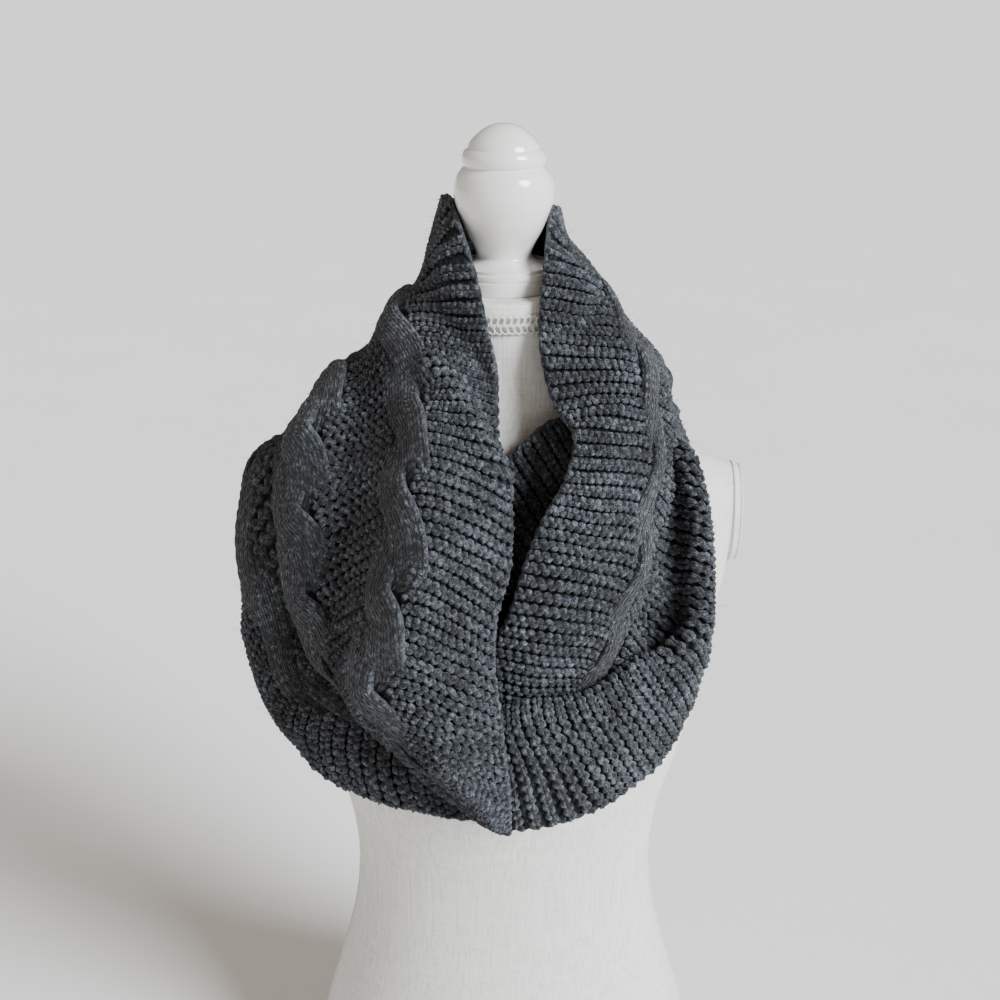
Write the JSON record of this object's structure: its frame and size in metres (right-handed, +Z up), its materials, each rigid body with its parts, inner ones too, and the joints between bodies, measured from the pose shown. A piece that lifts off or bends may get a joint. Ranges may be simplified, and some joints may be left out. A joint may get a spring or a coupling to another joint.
{
  "type": "infinity scarf on a limbless dress form",
  "caption": "Chunky garter and cable knit loop scarf wound twice round the neck of a limbless linen dress form with a turned gloss finial.",
  "frame": {"origin": "centre of the base board's underside, on the neck's vertical axis", "axes": "+Z up through the neck and finial, -Y out of the chest towards the viewer, +X to the viewer's right"},
  "size_m": [0.3693, 0.2985, 0.821],
  "materials": {
    "wool_knit": "charcoal heather chunky knit wool",
    "linen": "off-white slubbed linen cover",
    "braid": "off-white woven braid trim",
    "gloss_white": "gloss white paint on turned wood",
    "board": "satin off-white board"
  },
  "bodies": {
    "root": {"torso": "linen", "arm_plate_left": "linen", "arm_plate_right": "linen", "base_board": "board", "neck_braid": "braid", "finial": "gloss_white", "scarf_front_left": "wool_knit", "scarf_collar_back": "wool_knit", "scarf_front_right": "wool_knit", "scarf_outer_right": "wool_knit", "scarf_outer_back": "wool_knit", "scarf_outer_left": "wool_knit", "scarf_chest": "wool_knit"}
  },
  "joints": []
}
